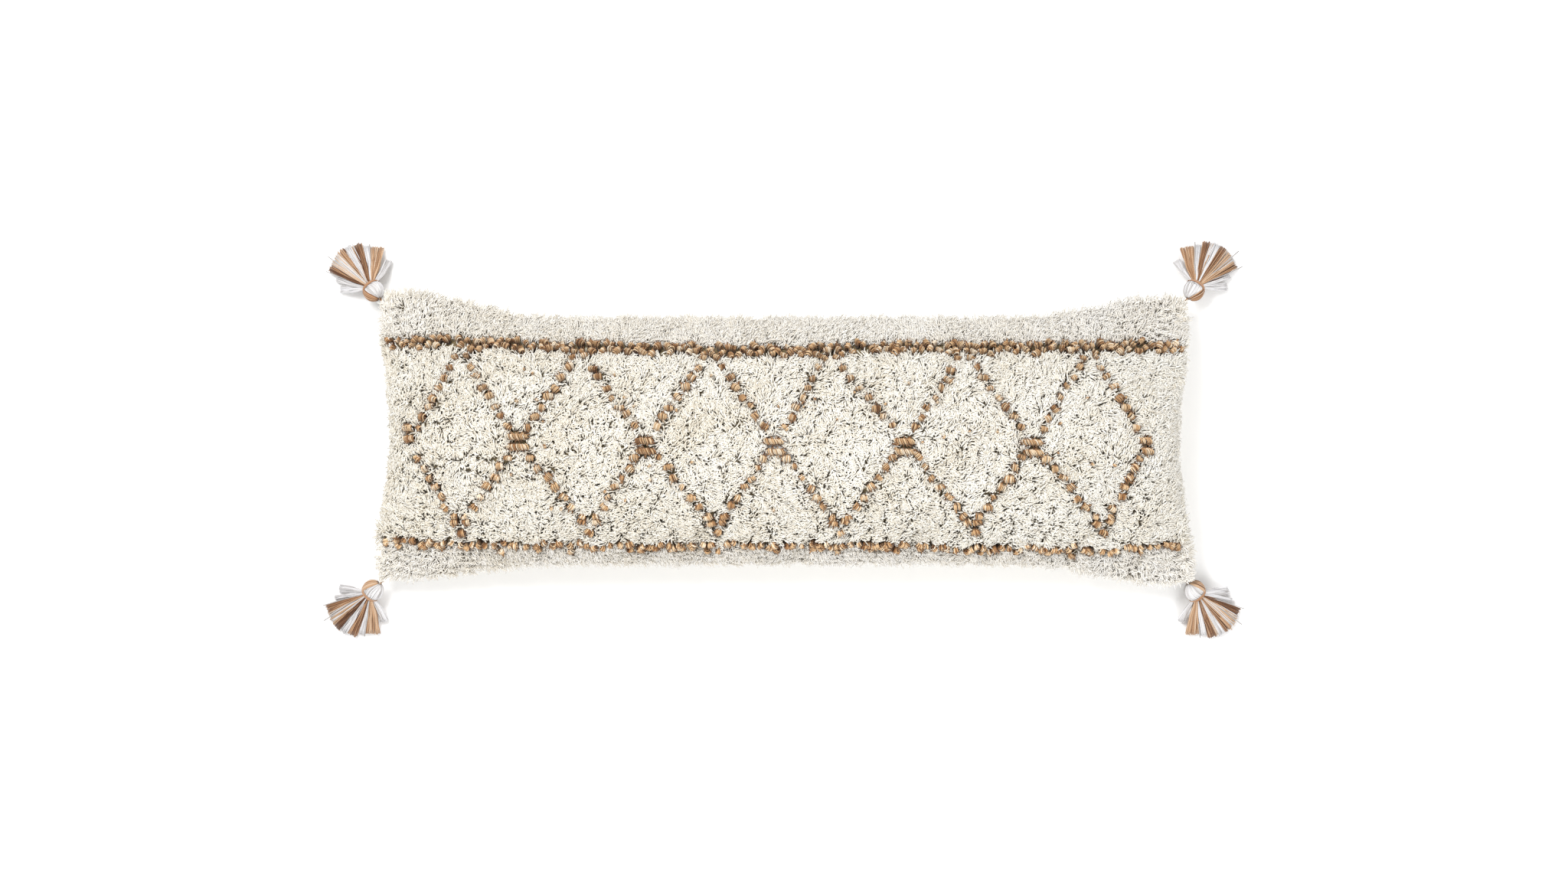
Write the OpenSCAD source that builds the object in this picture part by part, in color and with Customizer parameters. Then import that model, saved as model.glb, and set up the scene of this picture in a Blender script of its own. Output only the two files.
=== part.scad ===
// Lumbar throw pillow with a tufted front, a woven back, a zipped cover over a filled
// insert, and a tassel on each corner. It lies on its back panel: +Z up through the tufts,
// +X along the length. The origin is at the middle of the resting face. Millimetres.

/* [Cover] */
// Half length of the front panel at the middle of its short sides
half_length_mid = 427.5; // [400:0.5:440]
// Half length of the front panel at its corners
half_length_corner = 447; // [441:0.5:455]
// Half width of the front panel at the middle of its long sides
half_width_mid = 129.5; // [120:0.5:140]
// Half width of the front panel at its corners
half_width_corner = 155; // [145:0.5:165]
// Height of the seam over the floor at the middle of the sides
seam_height_mid = 72; // [66:1:78]
// Height of the seam over the floor at the corners
seam_height_corner = 38; // [34:1:44]
// Height of the front panel's crown over the seam
crown = 93; // [80:1:100]
// Depth that the back panel would bulge below the seam if the floor were away
belly = 85; // [80:1:95]
// Thickness of the two woven panels
panel_thick = 1.6; // [1:0.1:1.8]
// Open gap between the two panels' edges, which the seam thread and the zip bridge
seam_gap = 2; // [1.8:0.1:2.2]

/* [Pile] */
// Height of the cut yarn pile over the front panel
pile_height = 9; // [7:0.5:10]
// Height of the pile right at the corners, where the tassels swing
pile_height_corner = 0.6; // [0.4:0.1:1.2]
// Length of one diamond of the pattern along the pillow
diamond_pitch = 144; // [140:1:146]
// Number of diamonds in the row
diamond_count = 6; // [4:1:6]
// Height of a diamond from its side corners to its upper or lower tip
diamond_rise = 86; // [80:1:86]
// Shift of the pattern along the length
pattern_shift = -10; // [-12:1:12]
// Tufts along one side of a diamond, between its corners
tufts_per_side = 7; // [5:1:8]
// Width of one tuft of tan yarn
tuft_width = 9.5; // [7:0.5:10]

/* [Insert] */
// Room between the cover's sides and the insert, where the zip runs
insert_side_room = 8; // [7.6:0.2:10]
// Room between the cover and the insert above and below
insert_top_room = 2.6; // [2.4:0.2:4]
// Thickness of the insert's shell
insert_shell_thick = 0.8; // [0.6:0.1:1]

/* [Zip] */
// Half length of the zip's tapes
zip_half_length = 238; // [200:1:238]
// Pitch of the zip's teeth
tooth_pitch = 4; // [3:0.5:5]
// Length of the slider's body
slider_length = 10; // [8:0.5:12]
// Length of the pull tab
pull_length = 20; // [16:1:26]

/* [Tassels] */
// Distance from a corner's tie to the middle of the tassel's head
head_reach = 15; // [14.5:0.5:20]
// Radius of the tassel's head
head_radius = 11.5; // [10:0.5:11.5]
// Reach of the longest yarn bundles from the head's middle
skirt_reach = 60; // [50:1:64]
// Full angle that the yarn bundles fan out over
fan_angle = 118; // [90:1:120]
// Slope of the tassels as they lie, down from the corner
droop = 20; // [15:1:25]

/* [Hidden] */

CREAM = [0.93, 0.91, 0.85];
TAN = [0.74, 0.56, 0.37];
WHITE = [0.95, 0.94, 0.93];
LINEN = [0.86, 0.83, 0.76];

// The share of the half length after which the long sides flare out to the corners.
FLARE_START = 0.565;
// How strongly the flares stay at the edges of the panel.
FLARE_HOLD = 6;
// Shape of the crown along and across the pillow.
CROWN_ALONG = [4.5, 0.55];
CROWN_ACROSS = [2, 0.7];
// Cells of the panels' meshes along the length.
CELLS = 40;

// Lines across the width that all layers share, so that their facets stay parallel.
ROWS = [-1, -0.9945, -0.96, -0.925, -0.878, -0.786, -0.66, -0.5, -0.32, -0.11,
        0.11, 0.32, 0.5, 0.66, 0.78, 0.86, 0.925, 0.97, 0.9945, 1];
// Where the pile's five zones begin and end in ROWS.
PILE_EDGE = 1;
LOWER_STRIPE = [4, 5];
UPPER_STRIPE = [13, 14];
// Half of the gap between neighbouring zones of pile, as a share of the half width.
ZONE_GAP = 0.0014;
// The pile stops just short of the seam at the ends.
PILE_END = 0.9985;

// Share of the corner flare at a distance along the length, from 0 to 1.
function flare(t) =
  t < FLARE_START ? 0 : (1 - cos(180 * (t - FLARE_START) / (1 - FLARE_START))) / 2;

function swell(t, shape) = pow(max(0, 1 - pow(abs(t), shape[0])), shape[1]);

// Height of the seam's plane below or above a place on the pillow.
function seam_z(u, v) =
  seam_height_mid - (seam_height_mid - seam_height_corner) * flare(abs(u)) * v * v;

// A point of the layer that lies side_in inside the cover's sides and top_in below its
// crown. u and v run from -1 to 1 along and across; face is 1 for the front, -1 for the back.
function layer(u, v, face, side_in, top_in) =
  let (
    x = u * (half_length_mid - side_in)
        + (half_length_corner - half_length_mid) * v * v * u * pow(abs(u), FLARE_HOLD),
    y = v * (half_width_mid - side_in)
        + (half_width_corner - half_width_mid) * flare(abs(u)) * v * pow(abs(v), FLARE_HOLD),
    rise = swell(u, CROWN_ALONG) * swell(v, CROWN_ACROSS),
    rim = seam_z(u, v) + face * seam_gap / 2
  )
  [x, y, face > 0 ? rim + (crown - top_in) * rise : max(top_in, rim - (belly - top_in) * rise)];

// Places along the length, closer together towards the ends.
function stations(count, last = 1) = [for (i = [0 : count]) last * sin(-90 + 180 * i / count)];

// Rows first to last, with the two outer ones drawn in by the gap between zones.
function zone_rows(first, last) = [
  for (i = [first : last])
    ROWS[i] + (i == first ? ZONE_GAP : 0) - (i == last ? ZONE_GAP : 0)
];

// How far the corner region reaches at a place, from 0 to 1 at the corner itself.
function cornering(u, v) = pow(abs(u), 14) * pow(abs(v), 6);

function pile_top(u, v) =
  pile_height_corner + (pile_height - pile_height_corner) * (1 - cornering(u, v));

// A closed solid between an upper and a lower grid of points, nu by nv cells.
module between(nu, nv, upper, lower) {
  row = nu + 1;
  half = row * (nv + 1);
  rim = concat(
    [for (i = [0 : nu - 1]) i],
    [for (j = [0 : nv - 1]) j * row + nu],
    [for (i = [nu : -1 : 1]) nv * row + i],
    [for (j = [nv : -1 : 1]) j * row]
  );
  faces = concat(
    [for (j = [0 : nv - 1]) for (i = [0 : nu - 1]) let (a = j * row + i)
      each [[a, a + row, a + row + 1], [a, a + row + 1, a + 1]]],
    [for (j = [0 : nv - 1]) for (i = [0 : nu - 1]) let (a = half + j * row + i)
      each [[a, a + row + 1, a + row], [a, a + 1, a + row + 1]]],
    [for (k = [0 : len(rim) - 1])
      let (a = rim[k], b = rim[(k + 1) % len(rim)])
      each [[a, b, b + half], [a, b + half, a + half]]]
  );
  polyhedron(points = concat(upper, lower), faces = faces);
}

function sheet_points(us, vs, face, side_in, top_in) =
  [for (v = vs) for (u = us) layer(u, v, face, side_in, top_in)];

// One woven or padded layer over the front or the back.
module shell(face, side_in, top_in, thick) {
  us = stations(CELLS);
  outer = sheet_points(us, ROWS, face, side_in, top_in);
  inner = sheet_points(us, ROWS, face, side_in + thick, top_in + thick);
  between(CELLS, len(ROWS) - 1, face > 0 ? outer : inner, face > 0 ? inner : outer);
}

module front_panel() {
  color(LINEN) shell(1, 0, 0, panel_thick);
}

// The back panel lies on one flat face in its middle.
module back_panel() {
  color(LINEN) intersection() {
    shell(-1, 0, 0, panel_thick);
    translate([-500, -200, 0]) cube([1000, 400, 100]);
  }
}

module insert_shell_front() {
  color(WHITE) shell(1, insert_side_room, insert_top_room, insert_shell_thick);
}

module insert_shell_back() {
  color(WHITE) shell(-1, insert_side_room, insert_top_room, insert_shell_thick);
}

// The fibre filling, a solid lens a little inside the insert's shell.
module insert_filling() {
  us = stations(CELLS);
  side_in = insert_side_room + 2 * insert_shell_thick;
  top_in = insert_top_room + 2 * insert_shell_thick;
  color(WHITE) between(CELLS, len(ROWS) - 1,
    sheet_points(us, ROWS, 1, side_in, top_in), sheet_points(us, ROWS, -1, side_in, top_in));
}

// One zone of pile between two of the shared rows.
module pile_zone(first, last) {
  us = stations(CELLS, PILE_END);
  vs = zone_rows(first, last);
  foot = -1;
  upper = [for (v = vs) for (u = us)
    let (d = foot - pile_top(u, v)) layer(u, v, 1, d, d)];
  between(CELLS, last - first, upper, sheet_points(us, vs, 1, foot, foot));
}

module cream_band_lower() {
  color(CREAM) pile_zone(PILE_EDGE, LOWER_STRIPE[0]);
}

module stripe_lower() {
  color(TAN) pile_zone(LOWER_STRIPE[0], LOWER_STRIPE[1]);
}

module cream_field() {
  color(CREAM) pile_zone(LOWER_STRIPE[1], UPPER_STRIPE[0]);
}

module stripe_upper() {
  color(TAN) pile_zone(UPPER_STRIPE[0], UPPER_STRIPE[1]);
}

module cream_band_upper() {
  color(CREAM) pile_zone(UPPER_STRIPE[1], len(ROWS) - 1 - PILE_EDGE);
}

// Where a place along the flat pattern lies on the filled pillow, seen from above.
function drawn_in(s) = s * (1 - 0.065 * pow(abs(s) / 457, 4));

// The eight corners of a tuft, centred at x, y as seen from above, a across and b high.
function tuft_points(x, y, a, b) = [
  for (d = [-1.2, -pile_height - 1.8]) for (corner = [[-1, -1], [1, -1], [1, 1], [-1, 1]])
    let (
      u = (x + corner[0] * a / 2) / (half_length_mid + pile_height),
      v = (y + corner[1] * b / 2) / (half_width_mid + pile_height)
    )
    layer(u, v, 1, d, d)
];

// The triangles of a box whose eight corners are listed bottom first.
function box_faces(base) = [
  for (f = [[0, 1, 2], [0, 2, 3], [4, 6, 5], [4, 7, 6], [0, 5, 1], [0, 4, 5],
            [1, 6, 2], [1, 5, 6], [2, 7, 3], [2, 6, 7], [3, 4, 0], [3, 7, 4]])
    [for (p = f) p + base]
];

// Tufts at places [x, y, width, height] as one set of separate solids.
module tufts(places) {
  polyhedron(
    points = [for (p = places) each tuft_points(p[0], p[1], p[2], p[3])],
    faces = [for (i = [0 : len(places) - 1]) each box_faces(8 * i)]
  );
}

// The place along the flat pattern of the middle of diamond i, counted from 0.
function diamond_middle(i) = (i - (diamond_count - 1) / 2) * diamond_pitch + pattern_shift;

// A diamond: four stepped lines of tufts and a wider tuft at its upper and lower tips.
module diamond(i) {
  middle = diamond_middle(i);
  steps = tufts_per_side + 1;
  sides = [for (sx = [-1, 1]) for (sy = [-1, 1]) for (k = [1 : tufts_per_side])
    [drawn_in(middle + sx * diamond_pitch / 2 * (1 - k / steps)), sy * diamond_rise * k / steps,
     tuft_width, tuft_width]];
  tips = [for (sy = [-1, 1]) [drawn_in(middle), sy * diamond_rise, 1.5 * tuft_width, tuft_width]];
  color(TAN) tufts(concat(sides, tips));
}

// The two wide tufts, one above the other, at each place where diamonds meet.
module diamond_links() {
  wide = 1.6 * tuft_width;
  places = [for (i = [0 : diamond_count]) for (sy = [-1, 1])
    [drawn_in(diamond_middle(i) - diamond_pitch / 2), sy * 2.9, wide, 5]];
  color(TAN) tufts(places);
}

// A tube of radius r along a list of points, with flat ends.
module tube(path, r, sides = 6) {
  last = len(path) - 1;
  along = [for (i = [0 : last])
    let (d = path[min(i + 1, last)] - path[max(i - 1, 0)]) d / norm(d)];
  points = [for (i = [0 : last]) for (k = [0 : sides - 1])
    let (
      across = cross(along[i], [0, 0, 1]),
      n = across / norm(across),
      up = cross(n, along[i]),
      a = 360 * k / sides
    )
    path[i] + r * (cos(a) * n + sin(a) * up)];
  walls = [for (i = [0 : last - 1]) for (k = [0 : sides - 1])
    let (a = i * sides + k, b = i * sides + (k + 1) % sides)
    each [[a, b, b + sides], [a, b + sides, a + sides]]];
  polyhedron(points = points, faces = concat(
    walls,
    [[for (k = [sides - 1 : -1 : 0]) k], [for (k = [0 : sides - 1]) last * sides + k]]));
}

// The thread that sews the two panels together, all round except for the zip's length.
module seam_thread() {
  free = (zip_half_length + 6) / half_length_mid;
  spaced = stations(CELLS);
  ends = ROWS;
  edge = concat(
    [for (u = spaced) if (u > free) [u, -1]],
    [for (i = [1 : len(ends) - 2]) [1, ends[i]]],
    [for (i = [len(spaced) - 1 : -1 : 0]) [spaced[i], 1]],
    [for (i = [len(ends) - 2 : -1 : 1]) [-1, ends[i]]],
    [for (u = spaced) if (u < -free) [u, -1]]
  );
  in = panel_thick / 2;
  path = [for (p = edge)
    let (q = layer(p[0], p[1], 1, in, in)) [q[0], q[1], seam_z(p[0], p[1])]];
  color(CREAM) tube(path, seam_gap / 2 - 0.3);
}

// The zip lies behind the slit between the panels, on the straight middle of one long side.
// In its frame X runs along it, Y inward from the seam and Z up.
module on_zip() {
  translate([0, -half_width_mid, seam_height_mid]) children();
}

TEETH_IN = 4;
TEETH_DEEP = 1.4;
TAPE_IN = 5.5;
TAPE_THICK = 0.5;
TAPE_WIDE = 8.5;
SLOT_HALF = 0.7;
TEETH_HALF = 2.6;
TEETH_END = 13;
SLIDER_REST = zip_half_length - TEETH_END - slider_length / 2 - 1;

module tape() {
  on_zip() translate([-zip_half_length, TAPE_IN, SLOT_HALF])
    cube([2 * zip_half_length, TAPE_THICK, TAPE_WIDE - SLOT_HALF]);
}

// A row of teeth: a spine with a comb towards the slit.
module teeth(offset_x) {
  half = zip_half_length - TEETH_END;
  count = floor((2 * half - tooth_pitch) / tooth_pitch);
  comb = concat(
    [[-half, TEETH_HALF], [-half, 1.5]],
    [for (i = [0 : count - 1]) let (x = -half + 1 + offset_x + i * tooth_pitch)
      each [[x, 1.5], [x, SLOT_HALF], [x + tooth_pitch * 0.45, SLOT_HALF],
            [x + tooth_pitch * 0.45, 1.5]]],
    [[half, 1.5], [half, TEETH_HALF]]
  );
  on_zip() translate([0, TEETH_IN + TEETH_DEEP, 0]) rotate([90, 0, 0])
    linear_extrude(height = TEETH_DEEP) polygon(comb);
}

// What is above the slit, turned over to below it.
module turned_under() {
  translate([0, 0, seam_height_mid]) mirror([0, 0, 1]) translate([0, 0, -seam_height_mid])
    children();
}

module zip_tape_front() {
  color(CREAM) tape();
}

module zip_tape_back() {
  color(CREAM) turned_under() tape();
}

module zip_teeth_front() {
  color("ivory") teeth(0);
}

module zip_teeth_back() {
  color("ivory") turned_under() teeth(tooth_pitch / 2);
}

// A stop across the slit, just past the last teeth at one end.
module stop(side) {
  long = 3;
  at = side * (zip_half_length - TEETH_END / 2);
  on_zip() translate([at - long / 2, TEETH_IN, -TEETH_HALF])
    cube([long, TEETH_DEEP, 2 * TEETH_HALF]);
}

module zip_stop_closed() {
  color("silver") stop(1);
}

module zip_stop_open() {
  color("silver") stop(-1);
}

PIN_OUT = 2.6;
PIN_RADIUS = 0.7;
LUG_HALF = 0.6;
LUG_WIDE = 4.4;
EAR_TOP = 2.2;
EAR_GAP = 0.3;

// The slider: two plates joined by a thin wedge, with a lug that comes out of the slit.
module zip_slider() {
  half = slider_length / 2;
  color("silver") on_zip() translate([SLIDER_REST, 0, 0]) difference() {
    union() {
      translate([-half, 2.9, -3.9]) cube([slider_length, 0.8, 7.8]);
      for (low = [-3.9, 3.1])
        translate([-half, 2.9, low]) cube([slider_length, 2.3, 0.8]);
      translate([-1.5, 3, -0.35]) cube([3, 4, 0.7]);
      translate([-half, 6.3, -3.5]) cube([slider_length, 0.8, 7]);
      translate([-LUG_WIDE / 2, -PIN_OUT, -LUG_HALF]) cube([LUG_WIDE, 6, 2 * LUG_HALF]);
      translate([0, -PIN_OUT, -LUG_HALF]) cylinder(h = 2 * LUG_HALF, r = LUG_WIDE / 2, $fn = 48);
    }
    translate([0, -PIN_OUT, -3]) cylinder(h = 6, r = PIN_RADIUS + 0.08, $fn = 48);
  }
}

// The pull tab, hooked through the slider's lug by its pin and lying along the zip.
module zip_pull() {
  wide = 2 * EAR_TOP;
  start = 3.6;
  color("silver") on_zip() translate([SLIDER_REST, -PIN_OUT, 0]) difference() {
    union() {
      translate([0, 0, -EAR_TOP]) cylinder(h = wide, r = PIN_RADIUS, $fn = 48);
      for (low = [-EAR_TOP, LUG_HALF + EAR_GAP]) translate([0, 0, low]) {
        cylinder(h = EAR_TOP - LUG_HALF - EAR_GAP, r = 1.5, $fn = 48);
        translate([-start - 1, -0.8, 0]) cube([start + 1, 1.6, EAR_TOP - LUG_HALF - EAR_GAP]);
      }
      translate([-pull_length + EAR_TOP, -0.5, -EAR_TOP])
        cube([pull_length - EAR_TOP - start, 1, wide]);
      translate([-pull_length + EAR_TOP, 0.5, 0]) rotate([90, 0, 0])
        cylinder(h = 1, r = EAR_TOP, $fn = 48);
    }
    translate([-pull_length + EAR_TOP, 1, 0]) rotate([90, 0, 0])
      cylinder(h = 2, r = 1.1, $fn = 48);
  }
}

// A tassel's tie stands just off its corner of the cover.
TIE_OUT = 2;
TIE_Z = seam_height_corner - 4;
TIE_RADIUS = 1.7;
// The way each tassel points, seen from above: [along X, along Y, degrees from +X].
TL = [-1, 1, 130];
TR = [1, 1, 54];
BL = [-1, -1, 225];
BR = [1, -1, -48];

// The colours of the yarn bundles across the fan: 1 is tan, 0 is white.
BUNDLES = [0, 0, 1, 0, 1, 0, 1, 1, 0];

// Moves a tassel's part from its tie, pointing along +X, to its corner.
module at_corner(c) {
  translate([c[0] * (half_length_corner + TIE_OUT), c[1] * (half_width_corner + TIE_OUT), TIE_Z])
    rotate([0, 0, c[2]]) children();
}

module at_head(c) {
  at_corner(c) rotate([0, droop, 0]) translate([head_reach, 0, 0]) children();
}

// The knot that fastens a tassel to its corner: a ball with a stub of yarn on top and
// a short crossbar, about which the tassel lifts.
module tie(c) {
  color(TAN) at_corner(c) {
    sphere(r = TIE_RADIUS, $fn = 48);
    translate([0, 0, 0.6]) cylinder(h = 2, r = 0.9, $fn = 32);
    translate([0, -2.3, 0]) rotate([-90, 0, 0]) cylinder(h = 4.6, r = 0.8, $fn = 32);
  }
}

// The head: a ball of yarn drawn to a blunt nib at the tie.
module head(c) {
  nib = 2.3;
  color(WHITE) at_head(c) {
    sphere(r = head_radius, $fn = 72);
    translate([-head_reach + nib, 0, 0]) rotate([0, 90, 0])
      cylinder(h = head_reach - nib - 6, r1 = 1, r2 = 7, $fn = 48);
  }
}

BINDING_AT = 6.5;
BINDING_THICK = 0.9;

// The thread bound round the head, where the skirt begins.
module binding(c) {
  ring = sqrt(head_radius * head_radius - BINDING_AT * BINDING_AT);
  color(TAN) at_head(c) translate([BINDING_AT, 0, 0]) rotate([0, 90, 0])
    rotate_extrude($fn = 72) translate([ring + BINDING_THICK / 2, 0])
      circle(r = BINDING_THICK, $fn = 24);
}

// The yarn bundles of one colour. Each runs from the head down to just over the floor.
module bundles(c, which) {
  root = head_radius - 1;
  tip_r = 4.4;
  head_z = TIE_Z - head_reach * sin(droop);
  at_corner(c) translate([head_reach * cos(droop), 0, head_z - TIE_Z])
    for (i = [0 : len(BUNDLES) - 1]) if (BUNDLES[i] == which) {
      a = (i / (len(BUNDLES) - 1) - 0.5) * fan_angle;
      reach = skirt_reach * (1 - 0.3 * pow(abs(a) / (fan_angle / 2), 2));
      slope = atan2(head_z - tip_r - 1.6, reach);
      rotate([0, 0, a]) rotate([0, 90 + slope, 0]) translate([0, 0, root])
        cylinder(h = norm([reach, head_z - tip_r - 1.6]) - root, r1 = 1.1, r2 = tip_r, $fn = 32);
    }
}

module white_yarn(c) {
  color(WHITE) bundles(c, 0);
}

module tan_yarn(c) {
  color(TAN) bundles(c, 1);
}

front_panel();
back_panel();
seam_thread();
cream_band_upper();
stripe_upper();
cream_field();
stripe_lower();
cream_band_lower();
diamond(0);  // diamond_1
diamond(1);  // diamond_2
diamond(2);  // diamond_3
diamond(3);  // diamond_4
diamond(4);  // diamond_5
diamond(5);  // diamond_6
diamond_links();
insert_shell_front();
insert_shell_back();
insert_filling();
zip_tape_front();
zip_tape_back();
zip_teeth_front();
zip_teeth_back();
zip_stop_closed();
zip_stop_open();
zip_slider();
zip_pull();
tie(TL);  // tassel_tl_tie
head(TL);  // tassel_tl_head
binding(TL);  // tassel_tl_binding
white_yarn(TL);  // tassel_tl_white
tan_yarn(TL);  // tassel_tl_tan
tie(TR);  // tassel_tr_tie
head(TR);  // tassel_tr_head
binding(TR);  // tassel_tr_binding
white_yarn(TR);  // tassel_tr_white
tan_yarn(TR);  // tassel_tr_tan
tie(BL);  // tassel_bl_tie
head(BL);  // tassel_bl_head
binding(BL);  // tassel_bl_binding
white_yarn(BL);  // tassel_bl_white
tan_yarn(BL);  // tassel_bl_tan
tie(BR);  // tassel_br_tie
head(BR);  // tassel_br_head
binding(BR);  // tassel_br_binding
white_yarn(BR);  // tassel_br_white
tan_yarn(BR);  // tassel_br_tan
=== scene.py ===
"""Looks of a long lumbar throw pillow: tufted front, woven back, zip, insert and corner tassels."""

import math

import bpy
import numpy as np
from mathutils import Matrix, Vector


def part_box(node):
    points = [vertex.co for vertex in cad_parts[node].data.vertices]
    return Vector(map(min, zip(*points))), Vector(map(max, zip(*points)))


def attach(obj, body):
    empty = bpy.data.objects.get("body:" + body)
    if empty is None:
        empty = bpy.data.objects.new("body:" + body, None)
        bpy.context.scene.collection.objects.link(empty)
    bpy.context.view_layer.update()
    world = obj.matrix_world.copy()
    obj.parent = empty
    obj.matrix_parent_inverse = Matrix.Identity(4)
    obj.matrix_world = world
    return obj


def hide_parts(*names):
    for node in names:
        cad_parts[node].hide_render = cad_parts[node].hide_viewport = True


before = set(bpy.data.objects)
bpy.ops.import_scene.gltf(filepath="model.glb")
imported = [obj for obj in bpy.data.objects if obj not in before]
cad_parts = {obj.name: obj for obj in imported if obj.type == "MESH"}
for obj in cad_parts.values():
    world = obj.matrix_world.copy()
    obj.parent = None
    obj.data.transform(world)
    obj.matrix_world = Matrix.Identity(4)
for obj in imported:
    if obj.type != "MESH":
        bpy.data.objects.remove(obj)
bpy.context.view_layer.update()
rng = np.random.default_rng(36)

# ---- sizes from the frame, in metres
PANEL_LO, PANEL_HI = (np.array(p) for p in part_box("front_panel"))
SLIDER_LO, SLIDER_HI = (np.array(p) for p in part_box("zip_slider"))
SEAM_GAP = 0.002
SEAM_MID = (SLIDER_LO[2] + SLIDER_HI[2]) / 2
SEAM_CORNER = PANEL_LO[2] - SEAM_GAP / 2
CROWN = PANEL_HI[2] - SEAM_MID - SEAM_GAP / 2
BELLY = 0.085
CORNER_X, CORNER_Y = PANEL_HI[0], PANEL_HI[1]
DRAW_X, DRAW_Y = 0.0195, 0.0255  # how far the sides draw in between the corners
MID_X, MID_Y = CORNER_X - DRAW_X, CORNER_Y - DRAW_Y
FLARE_START, FLARE_HOLD = 0.565, 6
LEFT_LIFT, CORNER_LEAN = 0.006, 0.003  # the filled cover's slight unevenness at its ends
CROWN_ALONG, CROWN_ACROSS = (4.5, 0.55), (2, 0.7)
PILE = 0.009
INSERT_SIDE, INSERT_TOP, CLOTH = 0.008, 0.0026, 0.0012
FRAME_WIDTH, LENS, SENSOR = 1.733, 85.0, 36.0
VIEW_HEIGHT = FRAME_WIDTH * LENS / SENSOR  # the camera's height over the seam
UP = np.array([0, 0, 1.0])
VARIANTS = 64  # shades of yarn, one column each of the bake layout


# ---- the pillow's form
def flare(t):
    return np.where(t < FLARE_START, 0, (1 - np.cos(np.pi * (t - FLARE_START) / (1 - FLARE_START))) / 2)


def swell(t, shape):
    return np.maximum(0, 1 - np.abs(t) ** shape[0]) ** shape[1]


def seam_height(u, v):
    return SEAM_MID - (SEAM_MID - SEAM_CORNER) * flare(np.abs(u)) * v * v


def layer(u, v, face, side_in=0.0, top_in=0.0):
    """Points of a layer of the pillow, u and v from -1 to 1 along and across it."""
    x = u * (MID_X - side_in) + DRAW_X * v * v * u * np.abs(u) ** FLARE_HOLD
    y = v * (MID_Y - side_in) + DRAW_Y * flare(np.abs(u)) * v * np.abs(v) ** FLARE_HOLD
    x = x - CORNER_LEAN * v ** 3 * u * np.abs(u) ** 7
    y = y + LEFT_LIFT * np.where(u < 0, flare(np.abs(u)), 0)
    rise = swell(u, CROWN_ALONG) * swell(v, CROWN_ACROSS)
    rim = seam_height(u, v) + face * SEAM_GAP / 2
    if face > 0:
        z = rim + (CROWN - top_in) * rise
    else:
        z = np.maximum(top_in, rim - (BELLY - top_in) * rise)
    return np.stack([x, y, z], axis=-1)


def unit(a):
    return a / np.maximum(np.linalg.norm(a, axis=-1, keepdims=True), 1e-12)


def smooth_noise(x, y, seed, scale):
    """A smooth field of about -1 to 1 that changes over the given length."""
    r = np.random.default_rng(seed)
    total = np.zeros(np.broadcast(x, y).shape)
    for _ in range(7):
        a, k, p = r.uniform(0, 2 * np.pi), r.uniform(0.7, 1.6) * 2 * np.pi / scale, r.uniform(0, 2 * np.pi)
        total += np.sin((x * np.cos(a) + y * np.sin(a)) * k + p)
    return total / 3.2


# ---- meshes
def placed(name, data):
    """A new object in the scene."""
    ob = bpy.data.objects.new(name, data)
    bpy.context.scene.collection.objects.link(ob)
    return ob


def mesh_object(name, verts, faces, uvs=None, body="pillow", material=None, slot=None, replaces=(),
                smooth=True):
    """A mesh from arrays. faces is one array of quads, or a list of arrays of equal polygons."""
    groups = faces if isinstance(faces, list) else [faces]
    verts = np.asarray(verts, np.float32).reshape(-1, 3)
    me = bpy.data.meshes.new(name)
    me.vertices.add(len(verts))
    me.vertices.foreach_set("co", verts.ravel())
    corners = np.concatenate([g.ravel() for g in groups]).astype(np.int32)
    sizes = np.concatenate([np.full(len(g), g.shape[1]) for g in groups])
    starts = np.concatenate([[0], np.cumsum(sizes)[:-1]]).astype(np.int32)
    me.loops.add(len(corners))
    me.loops.foreach_set("vertex_index", corners)
    me.polygons.add(len(sizes))
    me.polygons.foreach_set("loop_start", starts)
    me.polygons.foreach_set("use_smooth", np.full(len(sizes), smooth))
    me.update(calc_edges=True)
    if uvs is not None:
        uv = me.uv_layers.new(name="OFBake")
        uv.data.foreach_set(
            "uv", np.concatenate([np.asarray(q, np.float32).reshape(-1, 2) for q in uvs]).ravel())
    me.validate()
    ob = placed(name, me)
    if material:
        me.materials.append(material)
    if body:
        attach(ob, body)
    if replaces:
        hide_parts(*replaces)
    return ob


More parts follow.
